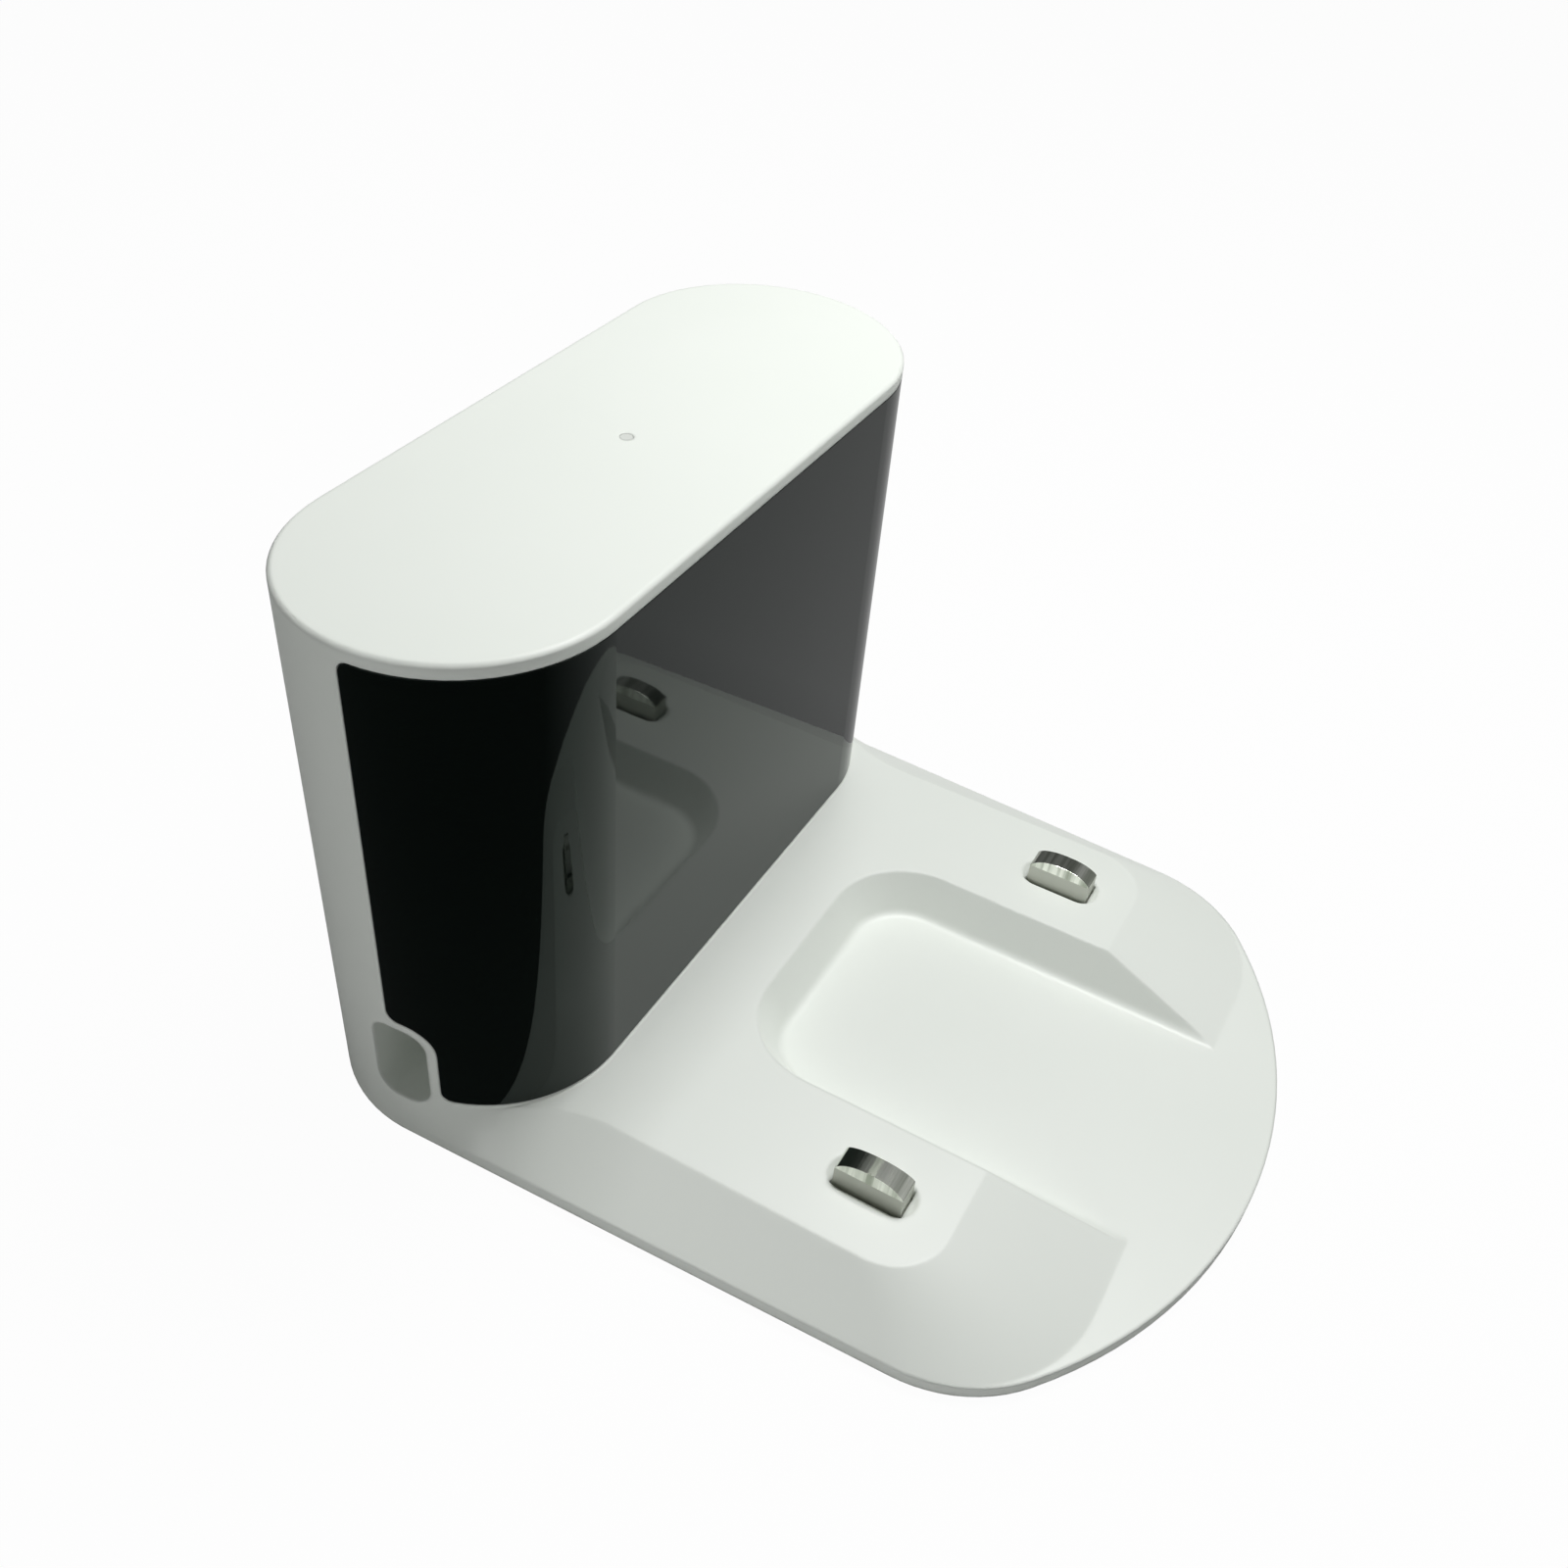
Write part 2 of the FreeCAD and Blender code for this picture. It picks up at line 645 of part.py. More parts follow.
def make_leaf():
    """Arched leaf spring between the carrier's floor and the contact's foot."""
    low = TRAY_FLOOR_Z
    high = FLANGE_TOP - FLANGE_T - FIT / 3
    half = FLANGE_HALF_L - FIT
    x0 = CONTACT_X - LEAF_W / 2
    tops = [(-half, low + LEAF_T), (0, high), (half, low + LEAF_T)]
    feet = [(-half, low), (0, high - LEAF_T), (half, low)]
    upper = [at(x0, CONTACT_Y + y, z) for y, z in tops]
    lower = [at(x0, CONTACT_Y + y, z) for y, z in feet]
    outline = Part.Wire([
        Part.Arc(*upper).toShape(),
        line(upper[2], lower[2]),
        Part.Arc(*reversed(lower)).toShape(),
        line(lower[0], upper[0])])
    return Part.Face(outline).extrude(at(LEAF_W, 0, 0))


def make_lead():
    """Wire from the contact's carrier, under the deck, then up to the board."""
    z = (PLATE_TOP + UNDER_DECK) / 2
    start = at(CONTACT_X, CONTACT_Y + CARRIER_HALF_L, z)
    rise_y = BAY_FRONT_Y - OUTLET_BEZEL - LEAD_R * 3
    turn = at(CONTACT_X, rise_y, z)
    path = Part.Wire([line(start, turn), line(turn, at(CONTACT_X, rise_y, BOARD_Z))])
    sweep = Part.BRepOffsetAPI.MakePipeShell(path)
    sweep.setTransitionMode(1)
    sweep.add(Part.Wire(Part.makeCircle(LEAD_R, start, at(0, 1, 0))))
    sweep.build()
    sweep.makeSolid()
    return sweep.shape()


# Power supply above the cord bay

def make_power_board():
    body = block(
        -BOARD_HALF, BOARD_HALF, MID_Y - BOARD_D / 2, MID_Y + BOARD_D / 2, BOARD_Z, BOARD_TOP)
    return body.cut(both(board_screw()))


def board_screw():
    head = post(SCREW_HEAD_R, BOARD_POST_X, MID_Y, BOARD_Z - SCREW_HEAD_H, BOARD_Z)
    shank = post(SCREW_R, BOARD_POST_X, MID_Y, BOARD_Z, BOARD_TOP + BOSS_R * 2)
    return head.fuse(shank).removeSplitter()


def make_transformer():
    x0 = PART_GAP
    x1 = x0 + CORE_W
    top = LID_Z - CORE_HEADROOM
    half = CORE_W / 2
    core = block(x0, x1, MID_Y - half / 2, MID_Y + half / 2, BOARD_TOP, top)
    winding = plate(
        rectangle(x0 + CORE_STEP, x1 - CORE_STEP, MID_Y - half, MID_Y + half, CORE_STEP),
        BOARD_TOP + CORE_STEP, top - CORE_STEP)
    bobbin = block(x0 + 1, x1 - 1, MID_Y - half, MID_Y + half, BOARD_TOP, BOARD_TOP + CORE_STEP)
    return core.fuse([winding, bobbin]).removeSplitter()


def make_heat_sink():
    top = LID_Z - SINK_HEADROOM
    y0 = MID_Y - SINK_HALF
    back = block(SINK_X, SINK_X + SINK_PLATE, y0, y0 + 2 * SINK_HALF, BOARD_TOP, top)
    pitch = (2 * SINK_HALF - SINK_FIN_T) / (FINS - 1)
    fins = []
    for i in range(FINS):
        y = y0 + i * pitch
        fins.append(block(SINK_X, SINK_X + OUTPUT_R, y, y + SINK_FIN_T, BOARD_TOP + SINK_FOOT, top))
    return back.fuse(fins).removeSplitter()


def make_output_capacitors():
    reach = OUTPUT_R + FIT
    top = BOARD_TOP + OUTPUT_H
    group = [post(OUTPUT_R, OUTPUT_X, y, BOARD_TOP, top) for y in (MID_Y - reach, MID_Y + reach)]
    return Part.makeCompound(group)


def make_choke():
    """Ring core of the mains filter, lying in a shallow cup."""
    y = MID_Y + CHOKE_R - 1.0
    ring = post(CHOKE_R, CHOKE_X, y, BOARD_TOP, BOARD_TOP + CHOKE_H)
    bore_r = CHOKE_R * CHOKE_BORE_SHARE
    return ring.cut(post(bore_r, CHOKE_X, y, BOARD_TOP + CHOKE_FLOOR, BOARD_TOP + CHOKE_H))


def make_fuse():
    y = MID_Y - CHOKE_R
    z = BOARD_TOP + FUSE_R
    x0 = CHOKE_X - FUSE_L / 2
    tube = Part.makeCylinder(FUSE_R, FUSE_L, at(x0, y, z), AXIS_X)
    clips = block(x0 + 1, x0 + FUSE_L - 1, y - FUSE_R / 2, y + FUSE_R / 2, BOARD_TOP, z)
    return tube.fuse(clips).removeSplitter()


def make_inlet():
    """Two-pole appliance inlet, hung from the board, its mouth facing down into the bay."""
    y = MID_Y + INLET_Y
    mouth = BAY_TOP - INLET_DROP
    half = INLET_W / 2
    body = plate(rectangle(-half, half, y - INLET_D / 2, y + INLET_D / 2, 2.0), mouth, BOARD_Z)
    roof = mouth + SOCKET_DEPTH
    waist = block(
        -SOCKET_SPREAD, SOCKET_SPREAD, y - SOCKET_R * 0.8, y + SOCKET_R * 0.8, mouth, roof)
    cuts = [waist] + both(post(SOCKET_R, SOCKET_SPREAD, y, mouth, roof))
    cuts += both(post(PIN_R, PIN_SPREAD, y, mouth, BOARD_Z))
    return body.cut(cuts)


def make_pins():
    y = MID_Y + INLET_Y
    tip = BAY_TOP - INLET_DROP + 2.0
    return Part.makeCompound(both(post(PIN_R, PIN_SPREAD, y, tip, BOARD_Z)))


# Infrared beacon behind the window

BEACON_FACE_Y = TOWER_FRONT_Y + WALL + SEAM
BEACON_BACK_Y = BEACON_FACE_Y + BEACON_D
BEACON_X = [BEACON_PITCH * i for i in range(-1, 2)]


def make_shade():
    """Dark screen with one flared window for each emitter."""
    body = block(-BEACON_HALF, BEACON_HALF, BEACON_FACE_Y, BEACON_BACK_Y, DECK_Z, BEACON_TOP)
    tunnels = []
    near = EMITTER_R + FIT
    far = BEACON_PITCH / 2 - WALL
    for x in BEACON_X:
        tunnels.append(Part.makeWedge(
            x - far, BEACON_FACE_Y, BEACON_Z - near * 2, BEACON_Z - near, x - near,
            x + far, BEACON_BACK_Y, BEACON_Z + near * 2, BEACON_Z + near, x + near))
    return body.cut(tunnels)


def make_beacon_board():
    half = BEACON_HALF - 1.0
    y1 = BEACON_BACK_Y + BEACON_BOARD_T
    return block(-half, half, BEACON_BACK_Y, y1, BEACON_Z - BEACON_PITCH / 2, BEACON_TOP)


def make_emitters():
    group = []
    for x in BEACON_X:
        foot = at(x, BEACON_BACK_Y, BEACON_Z)
        group.append(Part.makeCylinder(EMITTER_R, BEACON_D - 1.0, foot, at(0, -1, 0)))
    return Part.makeCompound(group)


def make_foot(x, y):
    return post(FOOT_R, x, y, 0, FOOT_T)


nodes = {
    "housing": make_housing(),
    "front_window": make_window(),
    "base_plate": make_base_plate(),
    "rear_cover": make_rear_cover(),
    "power_board": make_power_board(),
    "transformer": make_transformer(),
    "bulk_capacitor": post(BULK_R, BULK_X, MID_Y, BOARD_TOP, LID_Z - BULK_HEADROOM),
    "output_capacitors": make_output_capacitors(),
    "filter_choke": make_choke(),
    "heat_sink": make_heat_sink(),
    "fuse": make_fuse(),
    "power_inlet": make_inlet(),
    "inlet_pins": make_pins(),
    "beacon_shade": make_shade(),
    "beacon_board": make_beacon_board(),
    "beacon_emitters": make_emitters(),
    "light_pipe": post(PIPE_R, 0, MID_Y, BOARD_TOP + LAMP_H + FIT, HEIGHT),
    "status_led": post(LAMP_R, 0, MID_Y, BOARD_TOP, BOARD_TOP + LAMP_H),
    "board_screws": Part.makeCompound(both(board_screw())),
    "cover_screws": Part.makeCompound(both(cover_screw())),
}
base_group = []
for screw_x, screw_y in BASE_SCREWS:
    base_group += both(base_screw(screw_x, screw_y, UNDER_DECK - WALL))
nodes["base_screws"] = Part.makeCompound(base_group)
for end_name, (foot_x, foot_y) in FEET.items():
    nodes["foot_" + end_name + "_right"] = make_foot(foot_x, foot_y)
    nodes["foot_" + end_name + "_left"] = make_foot(-foot_x, foot_y)
paired = {
    "contact_shoe": make_shoe(),
    "contact_carrier": make_carrier(),
    "contact_spring": make_leaf(),
    "contact_lead": make_lead(),
}
for piece_name, piece in paired.items():
    nodes[piece_name + "_right"] = piece
    nodes[piece_name + "_left"] = mirrored(piece)

os.makedirs("parts", exist_ok=True)
for node_name, shape in nodes.items():
    shape.exportStep("parts/" + node_name + ".step")
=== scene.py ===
import math
import bmesh
import bpy
from mathutils import Matrix, Vector


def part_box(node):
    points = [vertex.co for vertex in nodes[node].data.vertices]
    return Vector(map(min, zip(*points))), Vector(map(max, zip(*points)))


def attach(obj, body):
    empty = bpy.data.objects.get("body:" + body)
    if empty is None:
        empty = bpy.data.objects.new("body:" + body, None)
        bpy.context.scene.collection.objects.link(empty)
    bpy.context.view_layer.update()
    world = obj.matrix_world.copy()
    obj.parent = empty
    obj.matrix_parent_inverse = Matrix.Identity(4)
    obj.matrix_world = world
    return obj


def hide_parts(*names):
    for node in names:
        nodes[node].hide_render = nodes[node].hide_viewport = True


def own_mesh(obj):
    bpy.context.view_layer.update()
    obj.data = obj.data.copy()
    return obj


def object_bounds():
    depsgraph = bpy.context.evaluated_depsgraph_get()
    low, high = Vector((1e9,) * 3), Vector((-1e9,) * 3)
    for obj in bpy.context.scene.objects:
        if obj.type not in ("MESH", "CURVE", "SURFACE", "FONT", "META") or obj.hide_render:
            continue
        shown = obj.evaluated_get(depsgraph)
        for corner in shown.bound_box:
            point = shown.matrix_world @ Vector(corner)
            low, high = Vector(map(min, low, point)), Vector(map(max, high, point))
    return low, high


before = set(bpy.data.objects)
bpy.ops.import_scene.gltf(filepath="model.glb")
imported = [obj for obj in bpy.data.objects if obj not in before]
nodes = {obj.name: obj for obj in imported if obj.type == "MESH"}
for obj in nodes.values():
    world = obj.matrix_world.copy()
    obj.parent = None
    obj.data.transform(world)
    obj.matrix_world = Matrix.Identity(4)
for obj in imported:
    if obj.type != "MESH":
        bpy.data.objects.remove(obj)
cad_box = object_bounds()

# Contacts, in metres. What isn't named here comes from the boxes of the CAD nodes.
crown_line = 0.0130
crown_half_width = 0.0022
head_half_length = 0.00595
head_half_width = 0.0025
foot_thick = 0.001
shoe_edge = 0.00018
leaf_thick = 0.0003
# Arch of the crown: how far its sides lean in as it rises, how flat its top is, how round its ends are.
crown_lean = 0.2
crown_flatness = 2.4
crown_roundness = 0.75
# Rows of points along each piece.
crown_steps = 28
leaf_steps = 24


# Helpers

def srgb(code):
    """sRGB hex to linear RGBA."""
    parts = [int(code[i:i + 2], 16) / 255 for i in (1, 3, 5)]
    linear = [c / 12.92 if c <= 0.04045 else ((c + 0.055) / 1.055) ** 2.4 for c in parts]
    return (*linear, 1.0)


def per_mm(size):
    """Texture scale that gives a pattern of this size in millimetres."""
    return 1000.0 / size


def add(tree, kind, sockets=None, **settings):
    """Adds one node. Settings are its properties; sockets are its inputs, as values or links."""
    node = tree.nodes.new("ShaderNode" + kind)
    for name, value in settings.items():
        setattr(node, name, value)
    for key, value in (sockets or {}).items():
        if isinstance(value, bpy.types.NodeSocket):
            tree.links.new(value, node.inputs[key])
        else:
            node.inputs[key].default_value = value
    return node


def begin(name):
    """New empty material, with its node tree and the object's own coordinates in metres."""
    material = bpy.data.materials.new(name)
    material.use_nodes = True
    tree = material.node_tree
    tree.nodes.clear()
    return material, tree, add(tree, "TexCoord").outputs["Object"]


def close(material, tree, **shader):
    """Ends a material with its shader. Names use _ for the spaces in the socket names."""
    sockets = {key.replace("_", " "): value for key, value in shader.items()}
    surface = add(tree, "BsdfPrincipled", sockets)
    add(tree, "OutputMaterial", {"Surface": surface.outputs["BSDF"]})
    return material


# Materials

def moulded(name, light, dark, rough, grit, relief, drift=35.0, edge=0.15, **shader):
    """Moulded, cast or extruded polymer: colour drifts slowly and a fine grit breaks up the gloss.
    light and dark are hex colours, rough is (low, high), grit, relief, drift and edge radius are mm."""
    material, tree, place = begin(name)
    cloud = add(tree, "TexNoise", {"Vector": place, "Scale": per_mm(drift), "Detail": 3.0})
    tint = add(tree, "Mix", {0: cloud.outputs["Fac"], 6: srgb(light), 7: srgb(dark)}, data_type="RGBA")
    grain = add(tree, "TexNoise", {"Vector": place, "Scale": per_mm(grit), "Detail": 4.0})
    gloss = add(tree, "MapRange", {"Value": grain.outputs["Fac"], "To Min": rough[0], "To Max": rough[1]})
    soft = add(tree, "Bevel", {"Radius": edge / 1000}, samples=6)
    bump = add(tree, "Bump", {"Height": grain.outputs["Fac"], "Strength": 0.5, "Distance": relief / 1000,
                              "Normal": soft.outputs["Normal"]})
    return close(material, tree, Base_Color=tint.outputs[2], Roughness=gloss.outputs["Result"],
                 Normal=bump.outputs["Normal"], **shader)


def drawn_metal(name, light, dark, rough, line, relief, stretch):
    """Rolled, extruded, turned or plated metal: fine lines, drawn out along the axes whose stretch is small.
    light and dark are hex colours, rough is (low, high), line and relief are mm."""
    material, tree, place = begin(name)
    run = add(tree, "Mapping", {"Vector": place, "Scale": stretch})
    lines = add(tree, "TexNoise", {"Vector": run.outputs["Vector"], "Scale": per_mm(line), "Detail": 5.0})
    tint = add(tree, "Mix", {0: lines.outputs["Fac"], 6: srgb(light), 7: srgb(dark)}, data_type="RGBA")
    gloss = add(tree, "MapRange", {"Value": lines.outputs["Fac"], "To Min": rough[0], "To Max": rough[1]})
    bump = add(tree, "Bump", {"Height": lines.outputs["Fac"], "Strength": 0.4, "Distance": relief / 1000})
    return close(material, tree, Base_Color=tint.outputs[2], Metallic=1.0, Roughness=gloss.outputs["Result"],
                 Normal=bump.outputs["Normal"])


def board_material():
    """Glass epoxy board, etched and coated: green mask, with tracks that show as paler lines.
    The bricks' rows are a quarter of the scale's size, so the tracks lie 1 mm apart."""
    material, tree, place = begin("glass_epoxy_etched_green")
    tracks = add(tree, "TexBrick", {"Vector": place, "Scale": per_mm(4.0), "Mortar Size": 0.06,
                                    "Color1": srgb("#1d5a34"), "Color2": srgb("#17492b"),
                                    "Mortar": srgb("#3f8a58")})
    weave = add(tree, "TexNoise", {"Vector": place, "Scale": per_mm(0.8), "Detail": 2.0})
    gloss = add(tree, "MapRange", {"Value": weave.outputs["Fac"], "To Min": 0.22, "To Max": 0.36})
    bump = add(tree, "Bump", {"Height": tracks.outputs["Fac"], "Strength": 0.4, "Distance": 0.00004})
    return close(material, tree, Base_Color=tracks.outputs["Color"], Roughness=gloss.outputs["Result"],
                 Normal=bump.outputs["Normal"])


def winding_material(name, first, second, pitch, rough):
    """Turns of wire or tape: bands that repeat at the pitch of the winding, in mm."""
    material, tree, place = begin(name)
    # At scale 1 the wave texture repeats every pi / 10.
    turns = per_mm(pitch) * math.pi / 10
    bands = add(tree, "TexWave", {"Vector": place, "Scale": turns, "Distortion": 0.6, "Detail": 2.0},
                bands_direction="Z")
    tint = add(tree, "Mix", {0: bands.outputs["Fac"], 6: srgb(first), 7: srgb(second)}, data_type="RGBA")
    bump = add(tree, "Bump", {"Height": bands.outputs["Fac"], "Strength": 0.5, "Distance": 0.0002})
    gloss = add(tree, "MapRange", {"Value": bands.outputs["Fac"], "To Min": rough[0], "To Max": rough[1]})
    return close(material, tree, Base_Color=tint.outputs[2], Roughness=gloss.outputs["Result"],
                 Normal=bump.outputs["Normal"])


def contact_material():
    """Nickel plated steel, stamped: satin up to the crown line, polished above it by the robot's own
    contacts, with streaks across the crown. The polish is real; the paler colour above the crown line is a
    painted highlight."""
    material, tree, place = begin("steel_stamped_nickel_plated")
    blur = 0.0001
    height = add(tree, "SeparateXYZ", {"Vector": place})
    # Mask above the crown line: real polish in the roughness, painted highlight in the colour.
    polish_and_highlight_mask = add(tree, "MapRange", {"Value": height.outputs["Z"], "From Min": crown_line - blur,
                                    "From Max": crown_line + blur}).outputs["Result"]
    run = add(tree, "Mapping", {"Vector": place, "Scale": (0.05, 1, 0.05)})
    streaks = add(tree, "TexNoise", {"Vector": run.outputs["Vector"], "Scale": per_mm(1.1), "Detail": 5.0})
    wear = add(tree, "MapRange", {"Value": streaks.outputs["Fac"], "From Min": 0.36,
                                  "From Max": 0.64}).outputs["Result"]
    # Paler nickel for the crown: painted highlight, broken by real wear streaks.
    crown_wear_and_highlight = add(tree, "Mix", {0: wear, 6: srgb("#eef1e8"), 7: srgb("#a3a99c")}, data_type="RGBA")
    tint = add(tree, "Mix", {0: polish_and_highlight_mask, 6: srgb("#b9bbb3"), 7: crown_wear_and_highlight.outputs[2]}, data_type="RGBA")
    polish = add(tree, "MapRange", {"Value": wear, "To Min": 0.06, "To Max": 0.14})
    gloss = add(tree, "Mix", {0: polish_and_highlight_mask, 2: 0.5, 3: polish.outputs["Result"]})
    bump = add(tree, "Bump", {"Height": streaks.outputs["Fac"], "Strength": 0.4, "Distance": 0.000004})
    return close(material, tree, Base_Color=tint.outputs[2], Metallic=1.0, Roughness=gloss.outputs[0],
                 Normal=bump.outputs["Normal"])


# ABS, injection moulded in a fine spark-eroded tool: an even satin white with a faint green cast.
# The real grit is finer than 0.1 mm; it is drawn at 0.5 mm so that it shows at all.
white_abs = moulded("ABS_moulded_satin_white", "#f7fbf5", "#f2f7f0", rough=(0.34, 0.46), grit=0.5,
                    relief=0.008, edge=0.9)
# The same plastic with a coarser grit under the dock, where a polished tool isn't worth its cost.
plate_abs = moulded("ABS_moulded_coarse_white", "#dfe3de", "#d4d8d3", rough=(0.50, 0.65), grit=0.9,
                    relief=0.03)
# Smoked polycarbonate from a polished tool: nearly black, mirror smooth, with a faint flow ripple.
window_pc = moulded("polycarbonate_moulded_smoked", "#040a07", "#070e0b", rough=(0.02, 0.045), grit=9.0,
                    relief=0.012, IOR=1.58, Specular_IOR_Level=0.26, Specular_Tint=srgb("#e4faf0"))
# Nickel plated contacts: a polished crown, painted paler as a highlight, over a satin grey side.
contact_nickel = contact_material()
# Phosphor bronze strip, rolled: warm, with lines along the strip.
spring_bronze = drawn_metal("phosphor_bronze_rolled", "#c79a5b", "#a67a42", rough=(0.25, 0.4), line=0.3,
                            relief=0.004, stretch=(1, 0.08, 1))
# Acetal, moulded: black and slightly waxy.
carrier_acetal = moulded("acetal_moulded_black", "#1b1b1c", "#131314", rough=(0.35, 0.5), grit=0.6,
                         relief=0.01)
# Soft PVC over stranded copper, extruded: smooth, slightly greasy sheen.
lead_red = moulded("PVC_extruded_red", "#a3201a", "#8c1915", rough=(0.3, 0.4), grit=1.2, relief=0.01)
lead_black = moulded("PVC_extruded_black", "#191919", "#101010", rough=(0.3, 0.4), grit=1.2, relief=0.01)
# Polybutylene, moulded: dull black.
inlet_pbt = moulded("PBT_moulded_black", "#1d1d1e", "#141415", rough=(0.45, 0.6), grit=0.5, relief=0.012)
# The shade's grade is deeper and duller, so that it throws no beacon light back.
shade_pbt = moulded("PBT_moulded_deep_black", "#0c0c0c", "#080808", rough=(0.6, 0.75), grit=0.6, relief=0.015)
# Cast epoxy, tinted dark violet so that only infrared passes: deep and glossy.
emitter_epoxy = moulded("epoxy_cast_dark_violet", "#1a1424", "#120d1a", rough=(0.04, 0.1), grit=2.0,
                        relief=0.004, Coat_Weight=0.4)
# Cast epoxy, filled so that it spreads the lamp's light: milky, with a soft gloss.
lamp_epoxy = moulded("epoxy_cast_milky", "#e9ece6", "#dfe2db", rough=(0.12, 0.2), grit=1.5, relief=0.004)
# Acrylic rod, polished: its end shows as a pale dot with a soft gloss.
pipe_acrylic = moulded("acrylic_polished_clear", "#f2f5ef", "#e6eae4", rough=(0.16, 0.28), grit=0.6,
                       relief=0.004, IOR=1.49, Transmission_Weight=0.1)
# Natural rubber, moulded: dark, dusty and matt.
foot_rubber = moulded("rubber_moulded_dark", "#2a2b2b", "#1e1f1f", rough=(0.75, 0.9), grit=0.8, relief=0.05)
# Phenolic fuse cover, moulded: dull buff.
fuse_cover = moulded("phenolic_moulded_buff", "#b3a58c", "#a39579", rough=(0.4, 0.55), grit=0.7, relief=0.015)
# PET sleeve shrunk over an aluminium can: thin gloss, dark blue.
can_sleeve = moulded("PET_sleeve_shrunk_blue", "#20223a", "#191b2f", rough=(0.16, 0.26), grit=3.0,
                     relief=0.01)
# Aluminium, extruded: bright lines along the extrusion.
sink_aluminium = drawn_metal("aluminium_extruded", "#c9cccd", "#adb0b2", rough=(0.3, 0.45), line=0.3,
                             relief=0.006, stretch=(1, 1, 0.06))
# Brass pins, turned and tin plated: pale, with fine rings.
pin_tin = drawn_metal("brass_turned_tin_plated", "#cfcab9", "#b5b09f", rough=(0.2, 0.32), line=0.2,
                      relief=0.003, stretch=(0.1, 0.1, 1))
# Steel screws, cold headed and zinc plated: bluish bright grey, slightly cloudy.
screw_zinc = drawn_metal("steel_headed_zinc_plated", "#b9bec4", "#9ba1a8", rough=(0.3, 0.48), line=0.8,
                         relief=0.006, stretch=(1, 1, 1))
# Boards: green, with a low gloss over the weave.
board_epoxy = board_material()
# Polyester tape wound round the transformer: yellow, glossy, with overlapping edges.
winding_tape = winding_material("polyester_tape_wound", "#c59a1f", "#b0871a", pitch=4.0, rough=(0.2, 0.35))
# Enamelled copper wound on a coated ring: dark green lacquer over copper turns.
choke_wire = winding_material("enamelled_copper_wound", "#6d3a1c", "#274a33", pitch=0.9, rough=(0.25, 0.4))

finishes = {
    white_abs: ["housing", "rear_cover"],
    plate_abs: ["base_plate"],
    window_pc: ["front_window"],
    carrier_acetal: ["contact_carrier_left", "contact_carrier_right"],
    lead_red: ["contact_lead_right"],
    lead_black: ["contact_lead_left"],
    board_epoxy: ["power_board", "beacon_board"],
    winding_tape: ["transformer"],
    choke_wire: ["filter_choke"],
    can_sleeve: ["bulk_capacitor", "output_capacitors"],
    sink_aluminium: ["heat_sink"],
    fuse_cover: ["fuse"],
    inlet_pbt: ["power_inlet"],
    pin_tin: ["inlet_pins"],
    shade_pbt: ["beacon_shade"],
    emitter_epoxy: ["beacon_emitters"],
    lamp_epoxy: ["status_led"],
    pipe_acrylic: ["light_pipe"],
    foot_rubber: ["foot_front_left", "foot_front_right", "foot_rear_left", "foot_rear_right"],
    screw_zinc: ["base_screws", "board_screws", "cover_screws"],
}
for finish, names in finishes.items():
    for name in names:
        nodes[name].data.materials.clear()
        nodes[name].data.materials.append(finish)


# Charging contacts

def loft(mesh, rows):
    """Adds a body through rows of points, closed round each row and capped at both ends."""
    loops = [[mesh.verts.new(point) for point in row] for row in rows]
    for near, far in zip(loops, loops[1:]):
        for k in range(len(near)):
            mesh.faces.new((near[k], near[k - 1], far[k - 1], far[k]))
    mesh.faces.new(loops[0])
    mesh.faces.new(loops[-1])


def stand_for(node, name, mesh, finish, body):
    """Turns the mesh into a piece that stands for a CAD node and rides on a body."""
    weld = 0.00001
    bmesh.ops.remove_doubles(mesh, verts=mesh.verts, dist=weld)
    bmesh.ops.recalc_face_normals(mesh, faces=mesh.faces)
    data = bpy.data.meshes.new(name)
    mesh.to_mesh(data)
    mesh.free()
    data.materials.append(finish)
    piece = bpy.data.objects.new(name, data)
    bpy.context.scene.collection.objects.link(piece)
    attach(piece, body)
    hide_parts(node)
    return piece


def make_contact(side):
    """Shoe with a tall head on a flat foot. Its crown keeps most of its width over the arch."""
    node = "contact_shoe_" + side
    low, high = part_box(node)
    middle = (low + high) / 2
    foot_top = low.z + foot_thick
    head = []
    for i in range(crown_steps + 1):
        along = math.sin(math.pi * (i / crown_steps - 0.5))
        arch = (high.z - crown_line) * (1 - abs(along) ** crown_flatness) ** crown_roundness
        crown_top = (crown_half_width - crown_lean * arch, crown_line + arch)
        flank = [(head_half_width, foot_top), (crown_half_width, crown_line), crown_top]
        section = [(-x, z) for x, z in flank] + [(x, z) for x, z in reversed(flank)]
        head.append([(middle.x + x, middle.y + head_half_length * along, z) for x, z in section])
    foot = []
    for y in (low.y, high.y):
        foot.append([(low.x, y, low.z), (low.x, y, foot_top), (high.x, y, foot_top), (high.x, y, low.z)])
    mesh = bmesh.new()
    loft(mesh, head)
    loft(mesh, foot)
    shoe = stand_for(node, "shoe_" + side, mesh, contact_nickel, "contact_" + side)
    soft = shoe.modifiers.new("soft_edges", "BEVEL")
    soft.width = shoe_edge
    soft.segments = 3
    soft.angle_limit = math.radians(20)


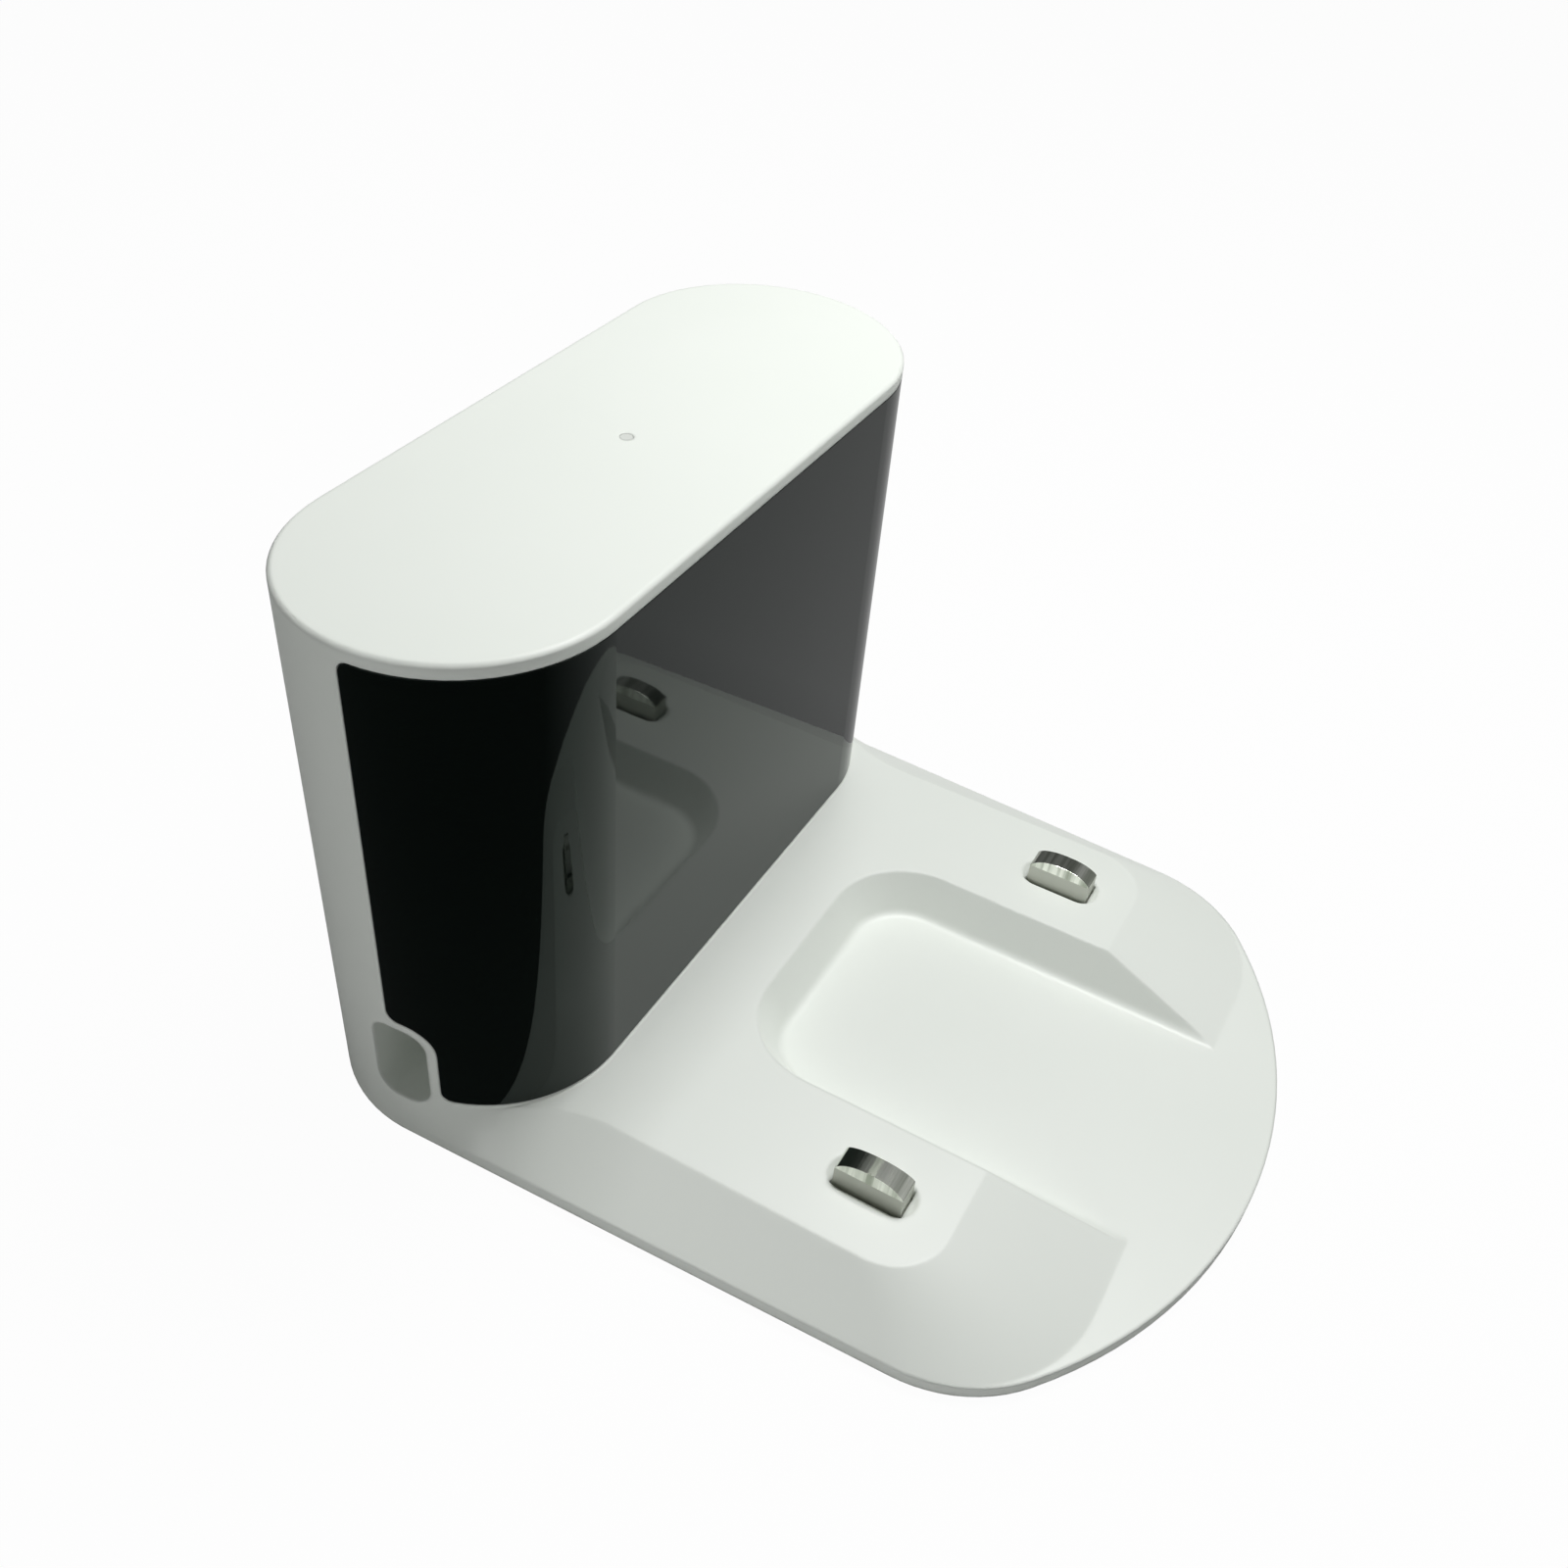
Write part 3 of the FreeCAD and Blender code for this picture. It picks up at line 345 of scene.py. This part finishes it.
def make_leaf(side):
    """Leaf spring under a shoe: an arched strip that rides on the dock."""
    node = "contact_spring_" + side
    low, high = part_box(node)
    middle = (low + high) / 2
    reach = high.z - low.z
    strip = []
    for i in range(leaf_steps + 1):
        along = 2 * i / leaf_steps - 1
        top = low.z + leaf_thick + (reach - leaf_thick) * (1 - along * along)
        under = top - leaf_thick
        y = middle.y + (high.y - middle.y) * along
        strip.append([(low.x, y, under), (low.x, y, top), (high.x, y, top), (high.x, y, under)])
    mesh = bmesh.new()
    loft(mesh, strip)
    leaf = stand_for(node, "leaf_" + side, mesh, spring_bronze, "dock")
    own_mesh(leaf)


for side in ("left", "right"):
    make_contact(side)
    make_leaf(side)


# Studio

def mirror_rays(tree, path):
    """One where a ray comes off a mirror or through glass, nought elsewhere."""
    return add(tree, "Math", {0: path.outputs["Is Glossy Ray"], 1: path.outputs["Is Transmission Ray"]},
               operation="MAXIMUM").outputs[0]


def paper_material():
    """Paper floor: white to the camera, with a trace of shadow. In mirrors it is nearly black on the left
    of the dock and rises to grey on the right."""
    material, tree, place = begin("paper_floor_white")
    path = add(tree, "LightPath")
    camera_ray = path.outputs["Is Camera Ray"]
    fibre = add(tree, "TexNoise", {"Vector": place, "Scale": per_mm(1.5)})
    tint = add(tree, "Mix", {0: fibre.outputs["Fac"], 6: srgb("#e2e2e2"), 7: srgb("#dedede")},
               data_type="RGBA")
    paper = add(tree, "BsdfDiffuse", {"Color": tint.outputs[2]})
    across = add(tree, "SeparateXYZ", {"Vector": place})
    sides = add(tree, "MapRange", {"Value": across.outputs["X"], "From Min": -0.06, "From Max": 0.08,
                                   "To Min": 0.05, "To Max": 0.48})
    level = add(tree, "Math", {0: camera_ray, 1: sides.outputs["Result"]}, operation="MAXIMUM")
    glow = add(tree, "Emission", {"Strength": level.outputs[0]})
    seen = add(tree, "Math", {0: camera_ray, 1: 0.97}, operation="MULTIPLY")
    share = add(tree, "Math", {0: seen.outputs[0], 1: mirror_rays(tree, path)}, operation="MAXIMUM")
    mix = add(tree, "MixShader", {0: share.outputs[0], 1: paper.outputs[0], 2: glow.outputs[0]})
    add(tree, "OutputMaterial", {"Surface": mix.outputs[0]})
    return material


def make_floor():
    """Flat paper just under the feet, so that the two don't share a plane."""
    half = 6.0
    gap = 0.0002
    corners = [(-half, -half, 0), (half, -half, 0), (half, half, 0), (-half, half, 0)]
    mesh = bpy.data.meshes.new("floor")
    mesh.from_pydata(corners, [], [(0, 1, 2, 3)])
    floor = bpy.data.objects.new("floor", mesh)
    floor.location.z = cad_box[0].z - gap
    mesh.materials.append(paper_material())
    bpy.context.scene.collection.objects.link(floor)


def make_world():
    """Dim room. In mirrors it is a white wall at the front left that falls off to a dark corner at the
    rear right."""
    world = bpy.data.worlds.new("studio")
    bpy.context.scene.world = world
    world.use_nodes = True
    tree = world.node_tree
    tree.nodes.clear()
    path = add(tree, "LightPath")
    room = add(tree, "Background", {"Color": srgb("#f2f5f3"), "Strength": 0.12})
    white = add(tree, "Background", {"Color": (1, 1, 1, 1), "Strength": 1.0})
    place = add(tree, "TexCoord").outputs["Generated"]
    side = add(tree, "VectorMath", {0: place, 1: (-1.0, -0.6, 0.0)}, operation="DOT_PRODUCT")
    wall = add(tree, "MapRange", {"Value": side.outputs["Value"], "From Min": -0.8, "From Max": 0.7,
                                  "To Max": 0.95})
    part = add(tree, "Math", {0: mirror_rays(tree, path), 1: wall.outputs["Result"]}, operation="MULTIPLY")
    seen = add(tree, "Math", {0: path.outputs["Is Camera Ray"], 1: part.outputs[0]}, operation="MAXIMUM")
    mix = add(tree, "MixShader", {0: seen.outputs[0], 1: room.outputs[0], 2: white.outputs[0]})
    add(tree, "OutputWorld", {"Surface": mix.outputs[0]})


def softbox(name, place, target, size, watts):
    """Soft lamp at a place, turned to a target."""
    lamp = bpy.data.lights.new(name, "AREA")
    lamp.shape = "RECTANGLE"
    lamp.size, lamp.size_y = size
    lamp.energy = watts
    box = bpy.data.objects.new(name, lamp)
    box.location = place
    box.rotation_euler = (Vector(target) - Vector(place)).to_track_quat("-Z", "Y").to_euler()
    bpy.context.scene.collection.objects.link(box)


def make_camera():
    """Camera fitted to the photo: no lens shift, square frame."""
    data = bpy.data.cameras.new("camera")
    data.sensor_width = 36.0
    data.lens = 35.307
    data.clip_start = 0.005
    camera = bpy.data.objects.new("camera", data)
    right = Vector((0.4857, -0.8710, 0.0748)).normalized()
    back = Vector((-0.6827, -0.3245, 0.6546))
    back = (back - right * back.dot(right)).normalized()
    up = back.cross(right)
    camera.matrix_world = Matrix((right, up, back)).transposed().to_4x4()
    camera.location = (-0.17631, -0.06539, 0.21281)
    bpy.context.scene.collection.objects.link(camera)
    bpy.context.scene.camera = camera


make_floor()
make_world()
softbox("overhead", place=(0.15, -0.035, 0.48), target=(0.0, -0.035, 0.05), size=(0.26, 0.14), watts=1.87)
softbox("fill_left", place=(-0.70, 0.10, 0.04), target=(0.0, 0.0, 0.05), size=(0.4, 0.4), watts=1.05)
make_camera()
bpy.context.scene.view_settings.view_transform = "Standard"
